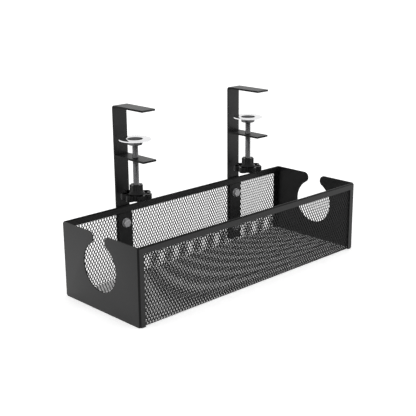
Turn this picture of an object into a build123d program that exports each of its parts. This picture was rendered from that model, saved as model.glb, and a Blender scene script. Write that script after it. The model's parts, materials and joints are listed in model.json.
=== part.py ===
from build123d import *
import math
import os

# Under-desk cable tray. A basket of diamond mesh hangs between two folded end
# plates with keyhole cable outlets, and two screw clamps carry it on the edge
# of a desk top. X runs along the tray, the clamps open towards -Y, Z is up,
# and the origin is the middle of the tray's underside. All sizes are in mm.

# Tray
tray_length = 400.0
tray_depth = 146.0
tray_height = 98.0
end_sheet = 1.5
end_fold_radius = 2.0
end_corner_cut = 3.2
flange_width = 8.7
rail_sheet = 1.5
rail_height = 8.7
rail_fold_radius = 1.8
mesh_sheet = 0.8
mesh_fold_radius = 1.6
mesh_columns = 12
mesh_wall_rows = 2
mesh_floor_rows = 3
mesh_bar = 5.0
mesh_rim = 2.0

# Keyhole cable outlet in each end plate
outlet_radius = 31.2
outlet_neck = 22.5
outlet_lip_radius = 7.7

# Clamps
clamp_spacing = 206.5
strip_width = 21.5
strip_sheet = 2.5
strip_fold_radius = 4.0
strip_corner_radius = 0.5
clamp_reach = 56.5
hook_top = 231.5
arm_top = 167.5
post_foot = 5.0

# Straps inside the tray and their bolts
strap_width = 23.0
strap_sheet = 1.5
strap_foot = 5.5
strap_corner_radius = 1.5
strap_gap = 0.3
bolt_heights = {"upper": 75.5, "lower": 23.3}
bolt_radius = 3.0
bolt_clearance = 0.3
nut_clearance = 0.05
hex_flats = 10.0
hex_chamfer = 0.8
bolt_head_height = 3.5
nut_height = 5.0
washer_radius = 6.0
washer_thickness = 1.0
bolt_overhang = 1.5

# Clamp screw and pad
screw_radius = 4.0
screw_clearance = 0.05
screw_seat_in_knob = 15.0
neck_radius = 3.0
neck_clearance = 0.05
pad_play = 0.2
rivet_head_radius = 7.2
rivet_head_height = 1.5
pad_top = 191.5
pad_radius = 20.5
pad_sheet = 1.2
pad_rim_fall = 0.6
pad_slope_width = 3.0
pad_recess_radius = 9.5
pad_recess_depth = 6.3
pad_recess_draft = 0.8
pad_lip = 2.2
pad_edge_radius = 1.0

# Star knob
knob_foot = 113.0
knob_radius = 20.0
knob_height = 7.8
knob_lobes = 7
knob_turn = -8.3
lobe_radius = 5.6
valley_radius = 15.6
valley_fillet = 1.5
knob_wall = 1.8
knob_floor = 2.0
knob_edge = 0.6
hub_height = 19.0
hub_radius = 7.2
hub_foot_radius = 10.9
hub_foot_height = 7.4
hub_skirt_height = 4.6
hub_ear_radius = 2.2
hub_ear_reach = 6.6
hub_cell_radius = 1.2
hub_cell_reach = 5.7
hub_cell_depth = 6.0
rib_thickness = 1.4
rib_drop = 1.5

# Places that the sizes above give
half_length = tray_length / 2
half_depth = tray_depth / 2
flange_inside = half_depth - end_sheet
mesh_inside = flange_inside - mesh_sheet
rail_depth = 2 * rail_sheet + mesh_sheet
rail_inner_radius = rail_fold_radius - rail_sheet
strap_inside = mesh_inside - strap_sheet
strap_head = tray_height - rail_height - strap_gap
mesh_head = tray_height - rail_sheet - rail_inner_radius
mesh_window = tray_length - 2 * (flange_width + mesh_rim)
post_front = half_depth
post_back = post_front + strip_sheet
screw_y = post_front - clamp_reach / 2
knob_seat = knob_foot + hub_height - screw_seat_in_knob
pad_floor_top = pad_top - pad_recess_depth
pad_floor_under = pad_floor_top - pad_sheet

# A box given by its lowest and highest corners
def block(low, high):
    size = [b - a for a, b in zip(low, high)]
    middle = [(a + b) / 2 for a, b in zip(low, high)]
    return Pos(*middle) * Box(*size)

# A cylinder along Y from y_low to y_high
def cross_pin(radius, x, z, y_low, y_high):
    turned = Rot(90, 0, 0) * Cylinder(radius, y_high - y_low)
    return Pos(x, (y_low + y_high) / 2, z) * turned

# The face of a folded channel: its web lies along Y, its legs point to +X
def channel(leg, width, sheet, radius):
    outer = Pos(leg / 2, 0) * Rectangle(leg, width)
    inner = Pos((leg + sheet) / 2, 0) * Rectangle(leg - sheet, width - 2 * sheet)
    outer = fillet(outer.vertices().group_by(Axis.X)[0], radius)
    inner = fillet(inner.vertices().group_by(Axis.X)[0], radius - sheet)
    return outer - inner

# Dubs the given corners of the tray, where a fold runs out at the top or the underside
def dubbed(shape, corners):
    for side, wall, level in corners:
        foot = (side * (half_length - end_corner_cut), wall * half_depth, tray_height * (level + 1) / 2)
        plane = Plane(origin=foot, z_dir=(side, wall, level))
        shape -= plane * Box(tray_height, tray_height, tray_height, align=(Align.CENTER, Align.CENTER, Align.MIN))
    return shape

# Diamond openings between slanting bars, cut off along the edges of a window
def lattice(width, height, rows):
    pitch = width / mesh_columns
    rise = height / rows
    slant = math.hypot(pitch, rise)
    half_width = (pitch - mesh_bar * slant / rise) / 2
    half_height = (rise - mesh_bar * slant / pitch) / 2
    diamond = Polygon((half_width, 0), (0, half_height), (-half_width, 0), (0, -half_height), align=None)
    whole = GridLocations(pitch, rise, mesh_columns, rows)
    between = GridLocations(pitch, rise, mesh_columns + 1, rows + 1)
    diamonds = Sketch() + [place * diamond for place in [*whole, *between]]
    return diamonds & Rectangle(width, height)

# The mesh as one sheet, folded up at the front and the back of the floor
def mesh_basket():
    length = tray_length - 2 * end_fold_radius
    plane = Plane(origin=(-length / 2, 0, 0), x_dir=(0, 0, 1), z_dir=(1, 0, 0))
    face = plane * channel(mesh_head, 2 * flange_inside, mesh_sheet, mesh_fold_radius)
    basket = extrude(face, length)
    for side in (-1, 1):
        for height in bolt_heights.values():
            basket -= cross_pin(bolt_radius + bolt_clearance, side * clamp_spacing / 2, height, 0, half_depth)
    foot = mesh_fold_radius + mesh_rim
    head = tray_height - rail_height - mesh_rim
    wall = lattice(mesh_window, head - foot, mesh_wall_rows)
    upright = Pos(0, 0, (foot + head) / 2) * Rot(90, 0, 0)
    basket -= extrude(upright * wall, half_depth)
    for side in (-1, 1):
        wall -= Pos(side * clamp_spacing / 2, 0) * Rectangle(strap_width, tray_height)
    basket -= extrude(upright * wall, -half_depth)
    floor = lattice(mesh_window, 2 * (flange_inside - foot), mesh_floor_rows)
    basket -= extrude(floor, 2 * mesh_sheet, both=True)
    return basket

# The keyhole: a round hole whose edge runs over two round lips into the neck
def outlet_face():
    lip_y = outlet_neck / 2 + outlet_lip_radius
    lip_z = tray_height - outlet_lip_radius
    reach = outlet_radius + outlet_lip_radius
    hole_z = lip_z - math.sqrt(reach ** 2 - lip_y ** 2)
    touch_y = lip_y * outlet_radius / reach
    touch_z = hole_z + (lip_z - hole_z) * outlet_radius / reach
    above = tray_height + outlet_lip_radius
    throat = Polygon(
        (0, hole_z), (touch_y, touch_z), (lip_y, lip_z), (lip_y, above),
        (-lip_y, above), (-lip_y, lip_z), (-touch_y, touch_z), align=None
    )
    lips = Pos(lip_y, lip_z) * Circle(outlet_lip_radius) + Pos(-lip_y, lip_z) * Circle(outlet_lip_radius)
    return Pos(0, hole_z) * Circle(outlet_radius) + (throat - lips)

# A plate with a flange folded in at the front and the back, mitred at the top
def end_plate():
    face = Pos(-half_length, 0) * channel(flange_width, tray_depth, end_sheet, end_fold_radius)
    plate = extrude(face, tray_height)
    outlet = Plane(origin=(-half_length - 1, 0, 0), x_dir=(0, 1, 0), z_dir=(1, 0, 0)) * outlet_face()
    plate -= extrude(outlet, end_sheet + 2)
    inside = -half_length + end_sheet
    room = Plane.XZ * Polygon(
        (inside, tray_height - end_sheet), (inside, tray_height),
        (-half_length + flange_width, tray_height),
        (-half_length + flange_width, tray_height - flange_width), align=None
    )
    cutter = extrude(room, half_depth, both=True)
    middle = half_depth - rail_depth
    cutter -= block((-half_length, -middle, 0), (0, middle, tray_height))
    return dubbed(plate - cutter, [(-1, wall, level) for wall in (-1, 1) for level in (-1, 1)])

# A channel that closes over the mesh's edge, mitred where it meets the flanges
def rail():
    inside = half_length - end_sheet
    plane = Plane(origin=(-inside, 0, tray_height), x_dir=(0, 0, -1), z_dir=(1, 0, 0))
    face = plane * channel(rail_height, rail_depth, rail_sheet, rail_fold_radius)
    bar = Pos(0, half_depth - rail_depth / 2, 0) * extrude(face, 2 * inside)
    for side in (-1, 1):
        corner = side * half_length
        below = Plane.XZ * Polygon(
            (corner, tray_height), (corner, tray_height - rail_height - 1),
            (corner - side * flange_width, tray_height - rail_height - 1),
            (corner - side * flange_width, tray_height - flange_width), align=None
        )
        wedge = Pos(0, half_depth, 0) * extrude(below, end_sheet, both=True)
        bar -= wedge
    return dubbed(bar, [(-1, 1, 1), (1, 1, 1)])


def strap(x):
    half = strap_width / 2
    bar = block((x - half, strap_inside, strap_foot), (x + half, mesh_inside, strap_head))
    bar = fillet(bar.edges().filter_by(Axis.Y), strap_corner_radius)
    for height in bolt_heights.values():
        bar -= cross_pin(bolt_radius + bolt_clearance, x, height, strap_inside - 1, mesh_inside + 1)
    return bar

# The clamp's strip: an upright post whose top folds over into the hook
def clamp_post(x):
    hook_tip = post_front - clamp_reach
    hook_under = hook_top - strip_sheet
    plane = Plane(origin=(x - strip_width / 2, 0, 0), x_dir=(0, 1, 0), z_dir=(1, 0, 0))
    face = Polygon(
        (post_back, post_foot), (post_back, hook_top), (hook_tip, hook_top),
        (hook_tip, hook_under), (post_front, hook_under), (post_front, post_foot), align=None
    )
    outer = face.vertices().sort_by_distance((post_back, hook_top))[0]
    face = fillet([outer], strip_fold_radius)
    inner = face.vertices().sort_by_distance((post_front, hook_under))[0]
    face = fillet([inner], strip_fold_radius - strip_sheet)
    post = extrude(plane * face, strip_width)
    tip_corners = post.edges().filter_by(Axis.Z).group_by(Axis.Y)[0]
    post = fillet(tip_corners, strip_corner_radius)
    for height in bolt_heights.values():
        post -= cross_pin(bolt_radius + bolt_clearance, x, height, post_front - 1, post_back + 1)
    return post

# The lower arm, welded to the post's front, with the hole that the screw runs in
def clamp_arm(x):
    half = strip_width / 2
    tip = post_front - clamp_reach
    arm = block((x - half, tip, arm_top - strip_sheet), (x + half, post_front, arm_top))
    arm = fillet(arm.edges().filter_by(Axis.Z).group_by(Axis.Y)[0], strip_corner_radius)
    hole = Pos(x, screw_y, arm_top) * Cylinder(screw_radius + screw_clearance, 4 * strip_sheet)
    return arm - hole

# The threaded rod: its neck runs in the pad and its riveted end holds the pad
def clamp_screw(x):
    shoulder = pad_floor_under - pad_play
    neck_top = pad_floor_top + pad_play
    rod = Cylinder(screw_radius, shoulder - knob_seat, align=(Align.CENTER, Align.CENTER, Align.MIN))
    neck = Cylinder(neck_radius, neck_top - shoulder, align=(Align.CENTER, Align.CENTER, Align.MIN))
    head = Cylinder(rivet_head_radius, rivet_head_height, align=(Align.CENTER, Align.CENTER, Align.MIN))
    head = fillet(head.edges().filter_by(GeomType.CIRCLE).group_by(Axis.Z)[-1], rivet_head_height / 2)
    axis = Pos(x, screw_y, 0)
    return axis * (Pos(0, 0, knob_seat) * rod + Pos(0, 0, shoulder) * neck + Pos(0, 0, neck_top) * head)

# The pressed dish that bears on the underside of the desk
def pad(x):
    wall_foot = pad_recess_radius - pad_recess_draft
    lip = pad_top - pad_rim_fall
    outline = Polyline(
        (neck_radius + neck_clearance, pad_floor_under),
        (wall_foot + pad_sheet / 2, pad_floor_under),
        (pad_recess_radius + pad_sheet / 2, lip - pad_sheet),
        (pad_recess_radius + pad_slope_width, pad_top - pad_sheet),
        (pad_radius - pad_sheet, pad_top - pad_sheet),
        (pad_radius - pad_sheet, pad_top - pad_lip),
        (pad_radius, pad_top - pad_lip),
        (pad_radius, pad_top),
        (pad_recess_radius + pad_slope_width, pad_top),
        (pad_recess_radius, lip),
        (wall_foot, pad_floor_top),
        (neck_radius + neck_clearance, pad_floor_top),
        close=True,
    )
    face = make_face(outline)
    edge = face.vertices().sort_by_distance((pad_radius, pad_top))[0]
    face = fillet([edge], pad_edge_radius)
    dish = revolve(Plane.XZ * face, Axis.Z)
    return Pos(x, screw_y, 0) * dish


def star_face(inset):
    lobe = Circle(lobe_radius - inset)
    face = Circle(valley_radius - inset)
    for place in PolarLocations(knob_radius - lobe_radius, knob_lobes):
        face += place * lobe
    return fillet(face.vertices(), valley_fillet)

# The moulded star knob: hollow lobes round a ribbed hub with open cells
def knob(x):
    star = extrude(star_face(0), knob_height)
    star = chamfer(star.edges().group_by(Axis.Z)[0], knob_edge)
    star -= Pos(0, 0, knob_floor) * extrude(star_face(knob_wall), knob_height)
    hub = Circle(hub_radius)
    for place in PolarLocations(hub_ear_reach, knob_lobes):
        hub += place * Circle(hub_ear_radius)
    hub = extrude(hub, hub_height)
    for place in PolarLocations(hub_cell_reach, knob_lobes):
        hub -= Pos(0, 0, hub_height - hub_cell_depth) * extrude(place * Circle(hub_cell_radius), hub_cell_depth)
    foot = Cylinder(hub_foot_radius, hub_foot_height, align=(Align.CENTER, Align.CENTER, Align.MIN))
    skirt = Cone(
        hub_foot_radius, hub_radius, hub_skirt_height, align=(Align.CENTER, Align.CENTER, Align.MIN)
    )
    body = star + hub + foot + Pos(0, 0, hub_foot_height) * skirt
    rib_height = knob_height - rib_drop - knob_floor
    rib = Box(
        valley_radius - knob_wall / 2, rib_thickness, rib_height, align=(Align.MIN, Align.CENTER, Align.MIN)
    )
    for step in range(knob_lobes):
        body += Rot(0, 0, (step + 0.5) * 360 / knob_lobes) * Pos(0, 0, knob_floor) * rib
    body = Pos(x, screw_y, knob_foot) * Rot(0, 0, knob_turn) * body
    bore = Cylinder(screw_radius, pad_top - knob_seat, align=(Align.CENTER, Align.CENTER, Align.MIN))
    return body - Pos(x, screw_y, knob_seat) * bore


def hex_block(height):
    corner = hex_flats / math.sqrt(3)
    prism = extrude(RegularPolygon(corner, 6), height)
    turned = Cone(
        corner + height, corner - hex_chamfer / 2, height + hex_chamfer / 2, align=(Align.CENTER, Align.CENTER, Align.MIN)
    )
    return prism & turned

# The hex bolt: its head is inside the tray, its shank points to +Y
def bolt(x, z):
    seat = strap_inside - washer_thickness
    end = post_back + nut_height + bolt_overhang
    head = Pos(x, seat, z) * Rot(90, 0, 0) * hex_block(bolt_head_height)
    return head + cross_pin(bolt_radius, x, z, seat, end)


def washer(x, z):
    ring = cross_pin(washer_radius, x, z, strap_inside - washer_thickness, strap_inside)
    return ring - cross_pin(bolt_radius + bolt_clearance, x, z, 0, half_depth)


def nut(x, z):
    body = Pos(x, post_back, z) * Rot(-90, 0, 0) * hex_block(nut_height)
    return body - cross_pin(bolt_radius + nut_clearance, x, z, post_back - 1, post_back + nut_height + 1)


def build():
    left_plate = end_plate()
    back_rail = rail()
    nodes = {
        "mesh_basket": mesh_basket(),
        "end_plate_left": left_plate,
        "end_plate_right": mirror(left_plate, Plane.YZ),
        "back_rail": back_rail,
        "front_rail": mirror(back_rail, Plane.XZ),
    }
    for side, name in ((-1, "left"), (1, "right")):
        x = side * clamp_spacing / 2
        nodes["strap_" + name] = strap(x)
        nodes["clamp_post_" + name] = clamp_post(x)
        nodes["clamp_arm_" + name] = clamp_arm(x)
        nodes["clamp_screw_" + name] = clamp_screw(x)
        nodes["pad_" + name] = pad(x)
        nodes["knob_" + name] = knob(x)
        for level, z in bolt_heights.items():
            nodes["bolt_" + name + "_" + level] = bolt(x, z)
            nodes["washer_" + name + "_" + level] = washer(x, z)
            nodes["nut_" + name + "_" + level] = nut(x, z)
    return nodes


os.makedirs("parts", exist_ok=True)
for node_name, shape in build().items():
    export_step(shape, "parts/" + node_name + ".step")
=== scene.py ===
import json
import math

import bmesh
import bpy
from bpy.props import FloatProperty, FloatVectorProperty, IntProperty, PointerProperty
from mathutils import Matrix, Vector


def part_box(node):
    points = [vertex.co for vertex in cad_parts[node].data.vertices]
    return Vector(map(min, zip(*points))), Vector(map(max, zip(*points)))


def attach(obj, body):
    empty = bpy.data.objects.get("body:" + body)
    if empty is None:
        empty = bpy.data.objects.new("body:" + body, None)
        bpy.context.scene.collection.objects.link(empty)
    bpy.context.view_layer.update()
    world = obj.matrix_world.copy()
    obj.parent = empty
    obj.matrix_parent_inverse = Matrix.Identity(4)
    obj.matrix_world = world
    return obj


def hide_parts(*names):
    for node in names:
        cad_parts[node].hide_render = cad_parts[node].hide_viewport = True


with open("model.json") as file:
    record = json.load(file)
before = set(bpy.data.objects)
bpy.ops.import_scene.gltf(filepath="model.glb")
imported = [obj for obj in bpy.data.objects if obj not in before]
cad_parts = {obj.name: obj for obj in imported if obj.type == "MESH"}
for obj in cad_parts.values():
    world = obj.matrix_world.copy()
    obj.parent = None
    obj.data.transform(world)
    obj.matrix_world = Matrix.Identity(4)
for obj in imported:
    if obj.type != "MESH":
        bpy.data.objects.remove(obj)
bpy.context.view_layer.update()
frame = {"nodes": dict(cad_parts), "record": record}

bl_info = {
    "name": "Cable tray dressing",
    "version": (1, 0, 0),
    "blender": (4, 5, 0),
    "location": "3D View > Sidebar > Cable tray",
    "description": "Mesh, screw threads, pads, finishes and stage for an under-desk cable tray",
    "category": "Object",
}

SIDES = ("left", "right")
LEVELS = ("upper", "lower")
X, Y, Z = 0, 1, 2
MM = 0.001

# What the frame gives of the folded mesh sheet
SHEET_LOW, SHEET_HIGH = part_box("mesh_basket")
SHEET_THICKNESS = SHEET_HIGH.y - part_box("strap_left")[1].y

# Distances that count as none, for points to be merged and for cuts
MERGE_DISTANCE = 0.005 * MM
TOLERANCE = 0.001 * MM

# Angles in degrees, over which an edge is rounded or stays sharp in the shading
SHEET_ANGLE = 40
HEX_ANGLE = 25
KNOB_ANGLE = 35
THREAD_ANGLE = 60
TURNED_ANGLE = 40
FACET_ANGLE = 50

# The angle in degrees up to which neighbouring faces count as one flat face
COPLANAR_ANGLE = 0.5

# What tells a flat face of the sheet metal from its edges and folds
FLAT_ALIGNMENT = 0.995
FLAT_AREA = 20 * MM * MM

# The outline of one turn of thread, as points on the crest or not, at shares of the pitch
THREAD_OUTLINE = (
    (False, 0), (False, 0.15), (True, 0.48), (True, 0.62), (False, 0.95), (False, 1),
)

# The turns of thread beyond its length, which are cut off, and those that start below it
SPARE_TURNS = 3
TURNS_BELOW = 1.5

# The collar between the clamp screw's thread and the pad
COLLAR_GAP = 0.2 * MM
COLLAR_HEIGHT = 0.6 * MM
COLLAR_STEP = 0.5 * MM

# The riveted head's outline, inwards from its radius and up, in shares of its height
RIVET_OUTLINE = ((0, 0.35), (0.5, 0.8))
RIVET_CROWN = 1.6

# The pad's gap round the neck, and the rounding of its outline
PAD_BORE_GAP = 0.05 * MM
PAD_ROUNDING = 0.4 * MM

# Where a pad's painted shade starts and where it is full, below its top and from its axis
PAD_UNDERSIDE_SHADE = (1.1 * MM, 1.7 * MM)
PAD_CUP_SHADE = (11.0 * MM, 9.4 * MM)

# The grip ribs' foot over the knob's, and how far they stay below the lobes' top
RIB_FOOT = 1.4 * MM
RIB_HEAD_GAP = 0.5 * MM

# How deep the grip ribs sit in the lobes, and the bevel of their edges
RIB_SUNK = 0.25 * MM
RIB_BEVEL = 0.15 * MM

# The curve's segments in a fold, the cuts across it, and each cut's reach in long ways
FOLD_SEGMENTS = 10
FOLD_CUTS = 5
CUT_REACH = 0.6

# A strand's thickness at its edges, as a share of that on its middle line
STRAND_EDGE = 0.6

# The orange peel of the powder coat, and how it and the broad patches dull the gloss
PEEL_SIZE = 0.9 * MM
PEEL_DEPTH = 0.03 * MM
PEEL_DULLING = 0.08
PATCH_DULLING = 0.06

# The studio floor's radius in metres, and the width of the camera's picture in mm
FLOOR_RADIUS = 12
PICTURE_WIDTH = 36

FULL_TURN = 2 * math.pi


def length(name, description, default):
    return FloatProperty(
        name=name, description=description, default=default, unit="LENGTH", precision=5,
    )


def angle(name, description, degrees):
    return FloatProperty(
        name=name, description=description, default=math.radians(degrees), subtype="ANGLE",
    )


def share(name, description, default):
    return FloatProperty(name=name, description=description, default=default, min=0, max=1)


def colour(name, description, default):
    return FloatVectorProperty(
        name=name, description=description, default=default, subtype="COLOR", min=0, max=1,
    )


def count(name, description, default, low):
    return IntProperty(name=name, description=description, default=default, min=low)


class MeshSettings(bpy.types.PropertyGroup):
    short_way: length("Short way", "Width of one opening, along the tray", 4.37 * MM)
    long_way: length("Long way", "Height of one opening, up the walls", 7.85 * MM)
    strand_width: length("Strand width", "Width of a strand between two openings", 1.1 * MM)
    strand_thickness: length(
        "Strand thickness", "Thickness of a strand on its middle line", 0.6 * MM,
    )
    bond: length(
        "Bond", "How far the corners of an opening are cut where strands join", 0.4 * MM,
    )
    fold_radius: length(
        "Fold radius", "Outer radius of the two folds along the floor", 1.6 * MM,
    )
    edge_cover: length(
        "Edge cover", "How far the mesh ends short of the rails' closed edge", 2.0 * MM,
    )
    wall_rows: count("Wall rows", "Rows of openings in the front and in the back piece", 12, 2)
    bolt_hole: length("Bolt hole", "Radius of the holes that the bolts pass through", 3.3 * MM)


class SheetSettings(bpy.types.PropertyGroup):
    tray_edge: length("Tray edge", "Radius of the edges of the end plates and rails", 0.5 * MM)
    clamp_edge: length(
        "Clamp edge", "Radius of the edges of the posts, arms and straps", 0.3 * MM,
    )
    bolt_edge: length(
        "Bolt edge", "Radius of the edges of the bolts, washers and nuts", 0.15 * MM,
    )


class ScrewSettings(bpy.types.PropertyGroup):
    clamp_pitch: length(
        "Clamp thread pitch", "Rise of the clamp screw's thread in one turn", 1.25 * MM,
    )
    clamp_depth: length("Clamp thread depth", "Depth of the clamp screw's thread", 0.7 * MM)
    bolt_pitch: length("Bolt thread pitch", "Rise of the bolts' thread in one turn", 1.0 * MM)
    bolt_depth: length("Bolt thread depth", "Depth of the bolts' thread", 0.55 * MM)
    bolt_radius: length("Bolt radius", "Outer radius of the bolts' thread", 3.0 * MM)
    rod_radius: length("Rod radius", "Outer radius of the clamp screw's thread", 3.97 * MM)
    neck_radius: length("Neck radius", "Radius of the neck that runs in the pad", 3.0 * MM)
    rivet_radius: length(
        "Rivet radius", "Radius of the riveted head in the pad's recess", 7.2 * MM,
    )
    rivet_height: length("Rivet height", "Height of the riveted head", 1.5 * MM)


class PadSettings(bpy.types.PropertyGroup):
    radius: length("Radius", "Radius of the pad", 20.5 * MM)
    sheet: length("Sheet", "Thickness of the sheet that the pad is pressed from", 1.2 * MM)
    lip: length("Lip", "Height of the edge that is turned down", 1.6 * MM)
    recess_radius: length("Recess radius", "Radius of the recess at its rim", 9.5 * MM)
    recess_draft: length(
        "Recess draft", "How much narrower the recess is at its floor", 0.8 * MM,
    )
    rim_fall: length("Rim fall", "How far the face falls towards the recess", 0.3 * MM)
    slope_width: length("Slope width", "Width of the slope round the recess", 2.0 * MM)


class KnobSettings(bpy.types.PropertyGroup):
    lobes: count("Lobes", "Lobes round the star knob", 7, 3)
    turn: angle("Turn", "Direction of the first lobe", -8.3)
    edge: length("Edge", "Radius of the knob's edges", 0.35 * MM)
    lobe_radius: length("Lobe radius", "Radius of a lobe's outside", 5.6 * MM)
    lobe_reach: length("Lobe reach", "From the knob's axis to the middle of a lobe", 14.4 * MM)
    star_height: length("Star height", "Height of the lobes", 7.8 * MM)
    ribs: count("Ribs", "Grip ribs on each lobe", 9, 2)
    rib_radius: length("Rib radius", "Radius of a grip rib", 0.55 * MM)
    rib_span: angle("Rib span", "Angle from the first to the last rib of a lobe", 168)


class ColourSettings(bpy.types.PropertyGroup):
    powder: colour("Powder coat", "Colour of the black powder coat", (0.0060, 0.0060, 0.0063))
    zinc: colour("Zinc", "Colour of the zinc-plated bolts", (0.50, 0.50, 0.51))
    thread: colour("Thread", "Colour of the clamp screws", (0.17, 0.17, 0.174))
    chrome: colour("Chrome", "Colour of the pads", (0.80, 0.80, 0.81))
    # Painted shade and painted dark reflection in the pads' recess and below their lip
    pad_shade: colour(
        "Pad cup", "Colour of the drawn cup in the middle of the pads", (0.10, 0.10, 0.102),
    )
    plastic: colour("Plastic", "Colour of the star knobs", (0.0030, 0.0030, 0.0032))


class StageSettings(bpy.types.PropertyGroup):
    azimuth: angle(
        "Azimuth", "Direction that the camera looks from, round the tray", -43.97,
    )
    elevation: angle(
        "Elevation", "Height of the camera over the floor, as an angle", 16.63,
    )
    roll: angle("Roll", "Turn of the camera about its own axis", -0.41)
    distance: length(
        "Distance", "From the camera to the tray's origin, along the view", 1193.99 * MM,
    )
    across: length(
        "Across", "How far the camera stands to the right of the origin", -14.78 * MM,
    )
    above: length("Above", "How far the camera stands above the origin", 84.18 * MM)
    lens: FloatProperty(
        name="Lens", description="Focal length for a 36 mm wide picture",
        default=75.87 * MM, unit="CAMERA", precision=4,
    )
    daylight: FloatProperty(
        name="Daylight", description="Strength of the white light from all round",
        default=1.0, min=0,
    )
    floor_grey: share("Floor", "Share of the light that the floor returns to the tray", 0.9)
    floor_glow: share(
        "Floor glow", "White that the floor shows besides the light that it returns", 0.38,
    )


def tool(context):
    return context.scene.cable_tray


def clamp_axis(side):
    """Where the clamp screw of a side stands."""
    low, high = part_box("pad_" + side)
    return Vector(((low.x + high.x) / 2, (low.y + high.y) / 2, 0))


def toward(direction, reach):
    return Vector((reach * math.cos(direction), reach * math.sin(direction), 0))


# Modelling by hand

def deselect():
    """Leaves edit mode with nothing selected, and with points to be selected in the next edit."""
    if bpy.context.mode != "OBJECT":
        bpy.ops.object.mode_set(mode="OBJECT")
    bpy.ops.object.select_all(action="DESELECT")
    bpy.context.scene.tool_settings.mesh_select_mode = (True, False, False)


def pick(piece):
    deselect()
    piece.select_set(True)
    bpy.context.view_layer.objects.active = piece


def edit_all(piece):
    """Starts the edit of a piece with all of it selected."""
    pick(piece)
    bpy.ops.object.mode_set(mode="EDIT")
    bpy.ops.mesh.select_all(action="SELECT")


def leave_edit():
    bpy.ops.object.mode_set(mode="OBJECT")


def shaped(name):
    """Ends the edit of the piece in hand, names it and returns it."""
    leave_edit()
    piece = bpy.context.object
    bpy.ops.object.transform_apply(location=True, rotation=True, scale=True)
    piece.name = name
    piece.data.name = name
    return piece


def select_by(piece, kind, test):
    """Selects the vertices, edges or faces of the piece in edit mode that pass the test."""
    bpy.ops.mesh.select_mode(type={"verts": "VERT", "edges": "EDGE", "faces": "FACE"}[kind])
    bpy.ops.mesh.select_all(action="DESELECT")
    shape = bmesh.from_edit_mesh(piece.data)
    for element in getattr(shape, kind):
        if test(element):
            element.select_set(True)
    shape.select_flush_mode()
    bmesh.update_edit_mesh(piece.data)


def cut_off(place, direction):
    """Cuts off what lies behind a plane, of all that is selected, and closes the cut."""
    bpy.ops.mesh.bisect(
        plane_co=place, plane_no=direction, use_fill=True, clear_inner=True, threshold=TOLERANCE,
    )


def finish_with(piece, kind, **settings):
    """Adds a modifier and applies it at once."""
    pick(piece)
    modifier = piece.modifiers.new(kind.title(), kind)
    for key, value in settings.items():
        setattr(modifier, key, value)
    bpy.ops.object.modifier_apply(modifier=modifier.name)


def repeat(piece, times, step):
    finish_with(
        piece, "ARRAY", count=times, use_relative_offset=False, use_constant_offset=True,
        constant_offset_displace=step,
    )


def weld(piece):
    edit_all(piece)
    bpy.ops.mesh.remove_doubles(threshold=MERGE_DISTANCE)
    leave_edit()


def face_outwards(piece):
    edit_all(piece)
    bpy.ops.mesh.normals_make_consistent(inside=False)
    leave_edit()


def smooth(piece, degrees):
    pick(piece)
    bpy.ops.object.shade_smooth_by_angle(angle=math.radians(degrees))


def line(*points):
    """Draws a line in edit mode by extruding one vertex from point to point."""
    deselect()
    bpy.ops.mesh.primitive_plane_add(size=MM, enter_editmode=True, location=points[0])
    bpy.ops.mesh.merge(type="CENTER")
    for before, after in zip(points, points[1:]):
        step = Vector(after) - Vector(before)
        bpy.ops.mesh.extrude_vertices_move(TRANSFORM_OT_translate={"value": step})
    bpy.ops.mesh.select_all(action="SELECT")
    bpy.ops.mesh.remove_doubles(threshold=TOLERANCE)


def turned(name, points, steps, rounding=0):
    """Spins an outline of (radius, height) points round the Z axis into a closed shape."""
    line(*[(radius, 0, height) for radius, height in points])
    if rounding:
        bpy.ops.mesh.bevel(affect="VERTICES", offset=rounding, segments=3)
        bpy.ops.mesh.select_all(action="SELECT")
    bpy.ops.mesh.spin(steps=steps, angle=FULL_TURN, center=(0, 0, 0), axis=(0, 0, 1))
    piece = shaped(name)
    weld(piece)
    face_outwards(piece)
    smooth(piece, TURNED_ANGLE)
    return piece


def thread(name, radius, depth, pitch, low, high, steps):
    """A threaded rod round the Z axis, with a right-hand thread and closed ends."""
    line(*[
        (radius if on_crest else radius - depth, 0, part * pitch)
        for on_crest, part in THREAD_OUTLINE
    ])
    piece = shaped(name)
    turns = math.ceil((high - low) / pitch) + SPARE_TURNS
    finish_with(
        piece, "SCREW", axis="Z", angle=FULL_TURN, screw_offset=pitch, iterations=turns,
        steps=steps, render_steps=steps,
    )
    weld(piece)
    edit_all(piece)
    bpy.ops.transform.translate(value=(0, 0, low - TURNS_BELOW * pitch))
    for level, direction in ((low, 1), (high, -1)):
        bpy.ops.mesh.select_all(action="SELECT")
        cut_off((0, 0, level), (0, 0, direction))
    shaped(name)
    face_outwards(piece)
    smooth(piece, THREAD_ANGLE)
    return piece


def moved(piece, place):
    """Shifts the whole mesh and leaves the object at the origin."""
    pick(piece)
    bpy.ops.transform.translate(value=place)
    bpy.ops.object.transform_apply(location=True, rotation=False, scale=False)


def tipped(piece):
    """Turns a mesh that stands on the Z axis so that it points along +Y."""
    edit_all(piece)
    bpy.ops.transform.rotate(value=math.pi / 2, orient_axis="X", center_override=(0, 0, 0))
    leave_edit()


def joined(name, *pieces):
    """Joins the pieces into the first one."""
    pick(pieces[0])
    for piece in pieces:
        piece.select_set(True)
    bpy.ops.object.join()
    pieces[0].name = name
    pieces[0].data.name = name
    return pieces[0]


def copied(node, edge, degrees):
    """A copy of a CAD node, merged into flat faces, with its edges rounded."""
    piece = bpy.data.objects.new("soft_" + node, frame["nodes"][node].data.copy())
    bpy.context.scene.collection.objects.link(piece)
    weld(piece)
    edit_all(piece)
    bpy.ops.mesh.dissolve_limited(angle_limit=math.radians(COPLANAR_ANGLE))
    leave_edit()
    smooth(piece, degrees)
    finish_with(
        piece, "BEVEL", width=edge, segments=2, limit_method="ANGLE",
        angle_limit=math.radians(degrees), harden_normals=True,
    )
    return piece


# Shader maths

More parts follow.
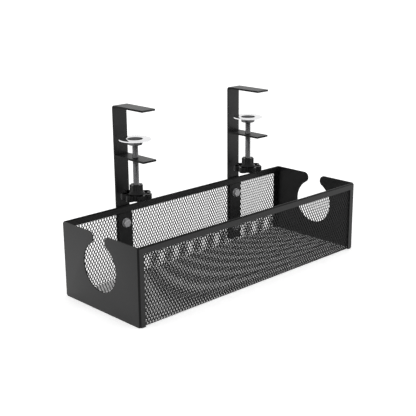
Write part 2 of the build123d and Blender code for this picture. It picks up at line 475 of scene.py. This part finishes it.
class Wire:
    """One output of a node, which adds Math nodes where it is reckoned with."""

    def __init__(self, finish, socket):
        self.finish = finish
        self.socket = socket

    def reckon(self, operation, *values):
        return self.finish.node("ShaderNodeMath", {"operation": operation}, dict(enumerate(values)))

    def __add__(self, other):
        return self.reckon("ADD", self, other)

    def __sub__(self, other):
        return self.reckon("SUBTRACT", self, other)

    def __mul__(self, other):
        return self.reckon("MULTIPLY", self, other)

    def __pow__(self, other):
        return self.reckon("POWER", self, other)

    def __radd__(self, other):
        return self.reckon("ADD", other, self)

    def __rsub__(self, other):
        return self.reckon("SUBTRACT", other, self)

    def __rmul__(self, other):
        return self.reckon("MULTIPLY", other, self)

    def __rpow__(self, other):
        return self.reckon("POWER", other, self)


class Finish:
    """A material that is built node by node."""

    def __init__(self, name):
        self.material = bpy.data.materials.new(name)
        self.material.use_nodes = True
        self.tree = self.material.node_tree
        self.tree.nodes.clear()

    def node(self, kind, settings=None, sockets=None, output=0):
        """Adds a node with its settings and the values or links of its sockets."""
        made = self.tree.nodes.new(kind)
        for key, value in (settings or {}).items():
            setattr(made, key, value)
        for key, value in (sockets or {}).items():
            if isinstance(value, Wire):
                self.tree.links.new(value.socket, made.inputs[key])
            else:
                made.inputs[key].default_value = value
        return Wire(self, made.outputs[output]) if made.outputs else made

    def place(self):
        return self.node("ShaderNodeTexCoord", output="Object")

    def grain(self, size, detail=2.0):
        """Noise with features of the given size in metres, from 0 to 1."""
        sockets = {"Vector": self.place(), "Scale": 1 / size, "Detail": detail, "Roughness": 0.5}
        return self.node("ShaderNodeTexNoise", {"noise_dimensions": "3D"}, sockets)

    def reach(self, x, y):
        """How far a point lies from the lines |X| = x and Y = y, and its height."""
        across, along, height = [
            self.node("ShaderNodeSeparateXYZ", None, {0: self.place()}, output=axis)
            for axis in (X, Y, Z)
        ]
        return across.reckon("ABSOLUTE", across) - x, along - y, height

    def ramp(self, value, low, high):
        """A share that goes smoothly from 0 at low to 1 at high."""
        settings = {"interpolation_type": "SMOOTHSTEP", "clamp": True}
        sockets = {"Value": value, "From Min": low, "From Max": high}
        return self.node("ShaderNodeMapRange", settings, sockets)

    def blend(self, part, first, second):
        """Mixes two colours, each of them a link or an (r, g, b, alpha) value."""
        sockets = {0: part, 6: first, 7: second}
        return self.node("ShaderNodeMix", {"data_type": "RGBA"}, sockets, output=2)

    def between(self, part, base, darkest, lightest):
        """A colour that varies between two shades of its base."""
        return self.blend(part, (*tint(base, darkest), 1), (*tint(base, lightest), 1))

    def bump(self, height, depth):
        sockets = {"Strength": 1.0, "Distance": depth, "Height": height}
        return self.node("ShaderNodeBump", None, sockets)

    def surface(self, **sockets):
        """Ends the material with a Principled shader. Its sockets are named with _ for a space."""
        named = {key.replace("_", " "): value for key, value in sockets.items()}
        shader = self.node("ShaderNodeBsdfPrincipled", None, named)
        self.node("ShaderNodeOutputMaterial", None, {"Surface": shader})
        return self.material


def tint(base, factor):
    return tuple(min(1.0, part * factor) for part in base)


def powder_coat(colours):
    finish = Finish("powder_coat")
    cloud = finish.grain(60 * MM)
    peel = finish.grain(PEEL_SIZE, detail=3.0)
    speck = finish.grain(0.25 * MM, detail=1.0)
    return finish.surface(
        Base_Color=finish.between(cloud * 0.5 + speck * 0.5, colours.powder, 0.8, 1.2),
        Roughness=0.34 + cloud * PATCH_DULLING + peel * PEEL_DULLING,
        Specular_IOR_Level=0.33,
        Normal=finish.bump(peel * 0.7 + speck * 0.3, PEEL_DEPTH),
    )


def painted_shade_coat(colours, name, patch, shades, roughness, specular):
    """The powder coat with less gloss and a darker colour, which is painted shade."""
    finish = Finish(name)
    cloud = finish.grain(patch)
    peel = finish.grain(PEEL_SIZE, detail=3.0)
    return finish.surface(
        Base_Color=finish.between(cloud, colours.powder, *shades),
        Roughness=roughness + cloud * PATCH_DULLING + peel * PEEL_DULLING,
        Specular_IOR_Level=specular,
        Normal=finish.bump(peel, PEEL_DEPTH),
    )


# Painted shade: the edges and folds of the sheet metal are a darker copy of the powder coat
def edge_painted_shade(colours):
    return painted_shade_coat(colours, "edge_painted_shade", 20 * MM, (0.5, 0.8), 0.40, 0.13)


# Painted shade: the mesh strands are a darker copy of the powder coat
def mesh_painted_shade(colours):
    return painted_shade_coat(colours, "mesh_painted_shade", 60 * MM, (0.6, 0.9), 0.42, 0.17)


def zinc_plate(colours):
    finish = Finish("zinc_plate")
    cloud = finish.grain(4 * MM)
    scratch = finish.grain(0.3 * MM)
    return finish.surface(
        Base_Color=finish.between(cloud, colours.zinc, 0.85, 1.15),
        Metallic=0.7,
        Roughness=0.26 + cloud * 0.1 + scratch * 0.08,
        Normal=finish.bump(scratch, 0.01 * MM),
    )


def thread_steel(colours):
    finish = Finish("thread_steel")
    cloud = finish.grain(3 * MM)
    fine = finish.grain(0.2 * MM)
    return finish.surface(
        Base_Color=finish.between(cloud, colours.thread, 0.8, 1.2),
        Metallic=1.0,
        Roughness=0.2 + fine * 0.1,
        Normal=finish.bump(fine, 0.008 * MM),
    )


def chrome_plate(colours):
    """Bright plate on the pad's face and lip, and a darker one in its recess and below its lip:
    painted shade and painted dark reflection.
    """
    finish = Finish("chrome_plate")
    cloud = finish.grain(8 * MM)
    fine = finish.grain(0.4 * MM)
    axis = clamp_axis("right")
    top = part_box("pad_right")[1].z
    across, along, height = finish.reach(axis.x, axis.y)
    radius = (across * across + along * along) ** 0.5
    # Painted shade: darker below the turned-down lip and in the recess round the axis
    under = finish.ramp(height, *[top - depth for depth in PAD_UNDERSIDE_SHADE])
    pad_shade = under.reckon("MAXIMUM", under * 0.9, finish.ramp(radius, *PAD_CUP_SHADE))
    face = finish.between(cloud, colours.chrome, 0.94, 1.04)
    painted_shade_colour = finish.between(cloud, colours.pad_shade, 0.8, 1.2)
    return finish.surface(
        Base_Color=finish.blend(pad_shade, face, painted_shade_colour),
        Metallic=1.0,
        Roughness=0.06 + cloud * 0.05 + fine * 0.03 + pad_shade * 0.2,
        Normal=finish.bump(cloud, 0.02 * MM),
    )


def knob_plastic(colours):
    finish = Finish("knob_plastic")
    cloud = finish.grain(12 * MM)
    grain = finish.grain(0.35 * MM, detail=3.0)
    return finish.surface(
        Base_Color=finish.between(cloud, colours.plastic, 0.85, 1.15),
        Roughness=0.22 + cloud * 0.05 + grain * 0.06,
        Specular_IOR_Level=0.20,
        Normal=finish.bump(grain, 0.02 * MM),
    )


FINISHES = {
    "powder_coat": powder_coat,
    "mesh_painted_shade": mesh_painted_shade,
    "edge_painted_shade": edge_painted_shade,
    "zinc_steel": zinc_plate,
    "dark_steel": thread_steel,
    "chrome": chrome_plate,
    "knob_plastic": knob_plastic,
}


def finish_for(context, key):
    """The material that a key of FINISHES names, made the first time that it is asked for."""
    name = "finish_" + key
    if name not in bpy.data.materials:
        FINISHES[key](tool(context).colours).name = name
    return bpy.data.materials[name]


def body_of(node):
    """The moving body that the record puts a node on."""
    for body, nodes in frame["record"]["behaviour"]["bodies"].items():
        if node in nodes:
            return body
    raise ValueError("no body holds " + node)


def dress(context, piece, slot, node, finish=None):
    """Gives a finished piece its material and the body it rides on, and hides the node it stands
    for.
    """
    piece.data.materials.clear()
    piece.data.materials.append(finish_for(context, finish or slot))
    body = body_of(node)
    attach(piece, body)
    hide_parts(node)


# Sheet metal

def paint_edge_shade(context, piece, flats):
    """Gives the edge finish, a darker colour that is painted shade, to all but the large faces that
    look along an axis in flats.
    """
    piece.data.materials.append(finish_for(context, "edge_painted_shade"))
    pick(piece)
    bpy.ops.object.mode_set(mode="EDIT")

    def on_edge(face):
        along = max(abs(face.normal[axis]) for axis in flats)
        return along < FLAT_ALIGNMENT or face.calc_area() < FLAT_AREA

    select_by(piece, "faces", on_edge)
    piece.active_material_index = 1
    bpy.ops.object.material_slot_assign()
    leave_edit()


class TRAY_OT_sheet_metal(bpy.types.Operator):
    """Round the edges of the end plates, rails, straps, posts and arms"""

    bl_idname = "tray.sheet_metal"
    bl_label = "Sheet metal"

    def execute(self, context):
        settings = tool(context).sheet
        sheets = [
            ("end_plate_left", settings.tray_edge, (X, Y)),
            ("end_plate_right", settings.tray_edge, (X, Y)),
            ("front_rail", settings.tray_edge, (Y,)),
            ("back_rail", settings.tray_edge, (Y,)),
        ]
        for side in SIDES:
            sheets += [
                ("strap_" + side, settings.clamp_edge, (Y,)),
                ("clamp_post_" + side, settings.clamp_edge, (Y, Z)),
                ("clamp_arm_" + side, settings.clamp_edge, (Z,)),
            ]
        for node, edge, flats in sheets:
            piece = copied(node, edge, SHEET_ANGLE)
            dress(context, piece, "powder_coat", node)
            paint_edge_shade(context, piece, flats)
        return {"FINISHED"}


# Hex bolts

class TRAY_OT_bolts(bpy.types.Operator):
    """Round the edges of the bolts, washers and nuts and cut the bolts' threads"""

    bl_idname = "tray.bolts"
    bl_label = "Bolts"

    def execute(self, context):
        edge = tool(context).sheet.bolt_edge
        for side in SIDES:
            for level in LEVELS:
                ending = side + "_" + level
                for node in ("washer_" + ending, "nut_" + ending):
                    dress(context, copied(node, edge, HEX_ANGLE), "zinc_steel", node)
                node = "bolt_" + ending
                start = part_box("washer_" + ending)[1].y
                piece = self.threaded(tool(context), node, start)
                dress(context, piece, "zinc_steel", node)
        return {"FINISHED"}

    def threaded(self, settings, node, start):
        """A bolt that has its thread from start to its end, along Y."""
        screw = settings.screw
        low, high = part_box(node)
        piece = copied(node, settings.sheet.bolt_edge, HEX_ANGLE)
        edit_all(piece)
        cut_off((0, start, 0), (0, -1, 0))
        leave_edit()
        cut = thread(
            "bolt_thread", screw.bolt_radius, screw.bolt_depth, screw.bolt_pitch,
            0, high.y - start, steps=20,
        )
        tipped(cut)
        moved(cut, ((low.x + high.x) / 2, start, (low.z + high.z) / 2))
        return joined("soft_" + node, piece, cut)


# Clamp screws, pads and knobs

class TRAY_OT_clamp_screws(bpy.types.Operator):
    """Cut the clamp screws' threads and turn their necks and riveted heads"""

    bl_idname = "tray.clamp_screws"
    bl_label = "Clamp screws"

    def execute(self, context):
        settings = tool(context).screw
        for side in SIDES:
            node = "clamp_screw_" + side
            low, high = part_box(node)
            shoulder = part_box("pad_" + side)[0].z - COLLAR_GAP
            rod_head = shoulder - COLLAR_HEIGHT
            head_foot = high.z - settings.rivet_height
            rod = thread(
                "rod", settings.rod_radius, settings.clamp_depth, settings.clamp_pitch,
                low.z, rod_head, steps=24,
            )
            collar = settings.rod_radius - COLLAR_STEP
            neck = turned(
                "neck",
                (
                    (0, rod_head), (collar, rod_head), (collar, shoulder),
                    (settings.neck_radius, shoulder), (settings.neck_radius, head_foot),
                    (0, head_foot),
                ),
                steps=32,
            )
            head = self.rivet(settings, head_foot, high.z)
            piece = joined("cut_" + node, rod, neck, head)
            moved(piece, clamp_axis(side))
            dress(context, piece, "dark_steel", node)
        return {"FINISHED"}

    def rivet(self, settings, foot, top):
        radius, height = settings.rivet_radius, settings.rivet_height
        side = [(radius - inset * height, foot + up * height) for inset, up in RIVET_OUTLINE]
        crown = (radius - RIVET_CROWN * height, top)
        outline = ((0, foot), (radius, foot), *side, crown, (0, top))
        return turned("rivet_head", outline, steps=40)


class TRAY_OT_pads(bpy.types.Operator):
    """Turn the pressed pads with their recess and the edge that is turned down"""

    bl_idname = "tray.pads"
    bl_label = "Pads"

    def execute(self, context):
        settings = tool(context).pad
        bore = tool(context).screw.neck_radius + PAD_BORE_GAP
        for side in SIDES:
            node = "pad_" + side
            low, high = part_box(node)
            top, sheet = high.z, settings.sheet
            rim = settings.recess_radius + settings.slope_width
            wall_foot = settings.recess_radius - settings.recess_draft
            lip = top - settings.rim_fall
            edge_foot = top - settings.lip
            piece = turned(
                "turned_" + node,
                (
                    (bore, low.z), (wall_foot + sheet / 2, low.z),
                    (settings.recess_radius + sheet / 2, lip - sheet), (rim, top - sheet),
                    (settings.radius - sheet, top - sheet), (settings.radius - sheet, edge_foot),
                    (settings.radius, edge_foot), (settings.radius, top), (rim, top),
                    (settings.recess_radius, lip), (wall_foot, low.z + sheet),
                    (bore, low.z + sheet), (bore, low.z),
                ),
                steps=96, rounding=PAD_ROUNDING,
            )
            moved(piece, clamp_axis(side))
            dress(context, piece, "chrome", node)
        return {"FINISHED"}


class TRAY_OT_knobs(bpy.types.Operator):
    """Round the star knobs' edges and set the grip ribs on their lobes"""

    bl_idname = "tray.knobs"
    bl_label = "Star knobs"

    def execute(self, context):
        settings = tool(context).knob
        for side in SIDES:
            node = "knob_" + side
            star = copied(node, settings.edge, KNOB_ANGLE)
            ribs = self.grip_ribs(settings)
            moved(ribs, clamp_axis(side) + Vector((0, 0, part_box(node)[0].z)))
            dress(context, joined("ribbed_" + node, star, ribs), "knob_plastic", node)
        return {"FINISHED"}

    def grip_ribs(self, settings):
        """The ribs on the lobes' outer walls: one rib, spun about its lobe and then the knob."""
        middle = toward(settings.turn, settings.lobe_reach)
        start = settings.turn + settings.rib_span / 2
        tall = settings.star_height - RIB_HEAD_GAP - RIB_FOOT
        first = middle + toward(start, settings.lobe_radius - RIB_SUNK)
        first.z = RIB_FOOT + tall / 2
        deselect()
        bpy.ops.mesh.primitive_cylinder_add(
            vertices=8, radius=settings.rib_radius, depth=tall, enter_editmode=True, location=first,
        )
        bpy.ops.mesh.bevel(affect="EDGES", offset=RIB_BEVEL, segments=1)
        around = FULL_TURN * (settings.lobes - 1) / settings.lobes
        for copies, span, centre in (
            (settings.ribs - 1, settings.rib_span, middle), (settings.lobes - 1, around, (0, 0, 0)),
        ):
            bpy.ops.mesh.select_all(action="SELECT")
            bpy.ops.mesh.spin(
                steps=copies, dupli=True, angle=span, center=centre, axis=(0, 0, 1),
            )
        ribs = shaped("grip_ribs")
        smooth(ribs, FACET_ANGLE)
        return ribs


# Diamond mesh

def diamond(settings, short_way, long_way):
    """One opening: the strands' middle lines as a rhombus round a cut-cornered hole."""
    half_short, half_long = short_way / 2, long_way / 2
    side = math.hypot(half_short, half_long)
    hole_short = half_short - settings.strand_width / 2 * side / half_long
    hole_long = half_long - settings.strand_width / 2 * side / half_short
    deselect()
    bpy.ops.mesh.primitive_circle_add(
        vertices=4, radius=1, fill_type="NOTHING", enter_editmode=True,
    )
    bpy.ops.transform.resize(value=(half_short, half_long, 1))
    bpy.context.object.vertex_groups.new(name="crown")
    bpy.context.scene.tool_settings.vertex_group_weight = 1.0
    bpy.ops.object.vertex_group_assign()
    bpy.ops.mesh.select_all(action="DESELECT")
    bpy.ops.mesh.primitive_circle_add(vertices=4, radius=1, fill_type="NOTHING")
    bpy.ops.transform.resize(value=(hole_short, hole_long, 1))
    bpy.ops.mesh.bevel(affect="VERTICES", offset=settings.bond, segments=1)
    bpy.ops.mesh.select_all(action="SELECT")
    bpy.ops.mesh.bridge_edge_loops()
    return shaped("diamond")


def fold_path(settings, top):
    """The line that the middle of the sheet follows: down, over the floor and up again."""
    middle = SHEET_THICKNESS / 2
    wall_y = SHEET_HIGH.y - middle
    radius = settings.fold_radius - middle
    deselect()
    bpy.ops.mesh.primitive_plane_add(size=2, enter_editmode=True)
    bpy.ops.transform.rotate(value=math.pi / 2, orient_axis="Y", center_override=(0, 0, 0))
    bpy.ops.transform.resize(value=(1, wall_y, (top - middle) / 2))
    bpy.ops.transform.translate(value=(0, 0, (top + middle) / 2))
    piece = bpy.context.object
    select_by(piece, "edges", lambda edge: all(vert.co.z > middle * 2 for vert in edge.verts))
    bpy.ops.mesh.delete(type="EDGE_FACE")
    select_by(piece, "verts", lambda vert: vert.co.z < middle * 2)
    bpy.ops.mesh.bevel(affect="VERTICES", offset=radius, segments=FOLD_SEGMENTS)
    shaped("fold_path")
    bpy.ops.object.convert(target="CURVE")
    path = bpy.context.object
    bpy.ops.object.mode_set(mode="EDIT")
    bpy.ops.curve.select_all(action="SELECT")
    if path.data.splines[0].points[0].co.y > 0:
        bpy.ops.curve.switch_direction()
    bpy.ops.transform.tilt(value=math.pi / 2)
    leave_edit()
    return path


def cut_at_folds(piece, folds, long_way):
    """Parts the faces of a flat strip where the sheet bends, so that it can follow the folds."""
    bpy.ops.object.mode_set(mode="EDIT")
    for start, bend in folds:
        for step in range(FOLD_CUTS):
            cut = start + bend * step / (FOLD_CUTS - 1)

            def near(face):
                return abs(face.calc_center_median().y - cut) < CUT_REACH * long_way

            select_by(piece, "faces", near)
            if any(face.select for face in bmesh.from_edit_mesh(piece.data).faces):
                bpy.ops.mesh.bisect(plane_co=(0, cut, 0), plane_no=(0, 1, 0), threshold=TOLERANCE)
    leave_edit()


def punch(piece, radius):
    """Takes the strands out of the holes that the bolts pass through."""
    boxes = [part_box("bolt_" + side + "_" + level) for side in SIDES for level in LEVELS]
    centres = [((low.x + high.x) / 2, (low.z + high.z) / 2) for low, high in boxes]
    pick(piece)
    bpy.ops.object.mode_set(mode="EDIT")

    def in_hole(face):
        middle = face.calc_center_median()
        return any(math.hypot(middle.x - x, middle.z - z) < radius for x, z in centres)

    select_by(piece, "faces", in_hole)
    bpy.ops.mesh.delete(type="FACE")
    leave_edit()


class TRAY_OT_mesh(bpy.types.Operator):
    """Lay the diamond mesh in three pieces along the folded sheet"""

    bl_idname = "tray.mesh"
    bl_label = "Diamond mesh"

    def execute(self, context):
        settings = tool(context).mesh
        top = SHEET_HIGH.z - settings.edge_cover
        wall = top - settings.fold_radius
        fold = (settings.fold_radius - SHEET_THICKNESS / 2) * math.pi / 2
        floor = 2 * (SHEET_HIGH.y - settings.fold_radius)
        width = SHEET_HIGH.x - SHEET_LOW.x
        sheet = 2 * wall + 2 * fold + floor
        columns = round(width / settings.short_way - 0.5)
        rows = round(sheet / settings.long_way - 0.5)
        short_way = width / (columns + 0.5)
        long_way = sheet / (rows + 0.5)
        folds = ((wall, fold), (wall + fold + floor, fold))
        path = fold_path(settings, top)
        wall_rows = settings.wall_rows
        parts = (
            ("mesh_front", 0, wall_rows),
            ("mesh_floor", wall_rows, rows - wall_rows),
            ("mesh_back", rows - wall_rows, rows),
        )
        for name, first, last in parts:
            piece = diamond(settings, short_way, long_way)
            repeat(piece, 2, (short_way / 2, long_way / 2, 0))
            repeat(piece, columns, (short_way, 0, 0))
            repeat(piece, last - first, (0, long_way, 0))
            weld(piece)
            edit_all(piece)
            start = (SHEET_LOW.x + short_way / 2, (first + 0.5) * long_way, 0)
            bpy.ops.transform.translate(value=start)
            piece = shaped(name)
            cut_at_folds(piece, folds, long_way)
            finish_with(piece, "CURVE", object=path, deform_axis="POS_Y")
            if name == "mesh_back":
                punch(piece, settings.bolt_hole)
            finish_with(
                piece, "SOLIDIFY", thickness=settings.strand_thickness, offset=0,
                vertex_group="crown", thickness_vertex_group=STRAND_EDGE,
            )
            smooth(piece, FACET_ANGLE)
            dress(context, piece, "powder_coat", "mesh_basket", finish="mesh_painted_shade")
        bpy.data.objects.remove(path)
        return {"FINISHED"}


class TRAY_OT_finishes(bpy.types.Operator):
    """Give every node of the frame the finish of its slot"""

    bl_idname = "tray.finishes"
    bl_label = "Finishes"

    def execute(self, context):
        for row in frame["record"]["subparts"]:
            node = frame["nodes"][row["node"]]
            node.data.materials.clear()
            node.data.materials.append(finish_for(context, row["material_slot"]))
        return {"FINISHED"}


# Studio

def camera(settings):
    turn, lift = settings.azimuth, settings.elevation
    back = Vector((
        math.sin(turn) * math.cos(lift), -math.cos(turn) * math.cos(lift), math.sin(lift),
    ))
    right = Vector((math.cos(turn), math.sin(turn), 0))
    up = back.cross(right)
    leaning = Matrix.Rotation(settings.roll, 3, back)
    right, up = leaning @ right, leaning @ up
    pose = Matrix((right, up, back)).transposed().to_4x4()
    pose.translation = back * settings.distance + right * settings.across + up * settings.above
    data = bpy.data.cameras.new("photo_view")
    data.sensor_width = PICTURE_WIDTH
    data.lens = settings.lens / MM
    data.clip_end = 100
    view = bpy.data.objects.new("photo_view", data)
    view.matrix_world = pose
    bpy.context.scene.collection.objects.link(view)
    bpy.context.scene.camera = view


def seen_straight(finish):
    """1 for camera, glossy and transmission rays, which show the white studio, or else 0."""
    kinds = ("Is Camera Ray", "Is Glossy Ray", "Is Transmission Ray")
    seen, *others = [finish.node("ShaderNodeLightPath", output=kind) for kind in kinds]
    for other in others:
        seen = seen.reckon("MAXIMUM", seen, other)
    return seen


def floor_paint(settings):
    finish = Finish("studio_floor")
    grey = settings.floor_grey
    matt = finish.node("ShaderNodeBsdfDiffuse", None, {"Color": (grey, grey, grey, 1)})
    glow = finish.node(
        "ShaderNodeEmission", None,
        {"Color": (1, 1, 1, 1), "Strength": seen_straight(finish) * settings.floor_glow},
    )
    paint = finish.node("ShaderNodeAddShader", None, {0: matt, 1: glow})
    finish.node("ShaderNodeOutputMaterial", None, {"Surface": paint})
    return finish.material


class TRAY_OT_stage(bpy.types.Operator):
    """Set up the white studio and the camera"""

    bl_idname = "tray.stage"
    bl_label = "Studio"

    def execute(self, context):
        settings = tool(context).stage
        deselect()
        bpy.ops.mesh.primitive_circle_add(
            vertices=96, radius=FLOOR_RADIUS, fill_type="NGON", enter_editmode=True,
        )
        floor = shaped("studio_floor")
        floor.data.materials.append(floor_paint(settings))
        world = bpy.data.worlds.new("studio")
        world.use_nodes = True
        sky = world.node_tree.nodes["Background"].inputs
        sky["Color"].default_value = (1, 1, 1, 1)
        sky["Strength"].default_value = settings.daylight
        context.scene.world = world
        context.scene.view_settings.view_transform = "Standard"
        camera(settings)
        return {"FINISHED"}


class TraySettings(bpy.types.PropertyGroup):
    mesh: PointerProperty(type=MeshSettings)
    sheet: PointerProperty(type=SheetSettings)
    screw: PointerProperty(type=ScrewSettings)
    pad: PointerProperty(type=PadSettings)
    knob: PointerProperty(type=KnobSettings)
    colours: PointerProperty(type=ColourSettings)
    stage: PointerProperty(type=StageSettings)


class TRAY_PT_sidebar(bpy.types.Panel):
    """Sizes, colours and pieces of the cable tray"""

    bl_idname = "TRAY_PT_sidebar"
    bl_label = "Cable tray"
    bl_space_type = "VIEW_3D"
    bl_region_type = "UI"
    bl_category = "Cable tray"

    def draw(self, context):
        settings = tool(context)
        groups = (
            ("Mesh", settings.mesh), ("Sheet metal", settings.sheet), ("Screws", settings.screw),
            ("Pads", settings.pad), ("Knobs", settings.knob), ("Colours", settings.colours),
            ("Studio", settings.stage),
        )
        for title, group in groups:
            box = self.layout.box()
            box.label(text=title)
            for key in group.__annotations__:
                box.prop(group, key)
        for step in STEPS:
            self.layout.operator(step.bl_idname)


STEPS = (
    TRAY_OT_finishes, TRAY_OT_sheet_metal, TRAY_OT_bolts, TRAY_OT_clamp_screws, TRAY_OT_pads,
    TRAY_OT_knobs, TRAY_OT_mesh, TRAY_OT_stage,
)
CLASSES = (
    MeshSettings, SheetSettings, ScrewSettings, PadSettings, KnobSettings, ColourSettings,
    StageSettings, TraySettings, *STEPS, TRAY_PT_sidebar,
)


def register():
    for each in CLASSES:
        bpy.utils.register_class(each)
    bpy.types.Scene.cable_tray = PointerProperty(type=TraySettings)


def unregister():
    del bpy.types.Scene.cable_tray
    for each in reversed(CLASSES):
        bpy.utils.unregister_class(each)


def main():
    register()
    bpy.ops.tray.finishes()
    bpy.ops.tray.sheet_metal()
    bpy.ops.tray.bolts()
    bpy.ops.tray.clamp_screws()
    bpy.ops.tray.pads()
    bpy.ops.tray.knobs()
    bpy.ops.tray.mesh()
    bpy.ops.tray.stage()


if __name__ == "__main__":
    main()
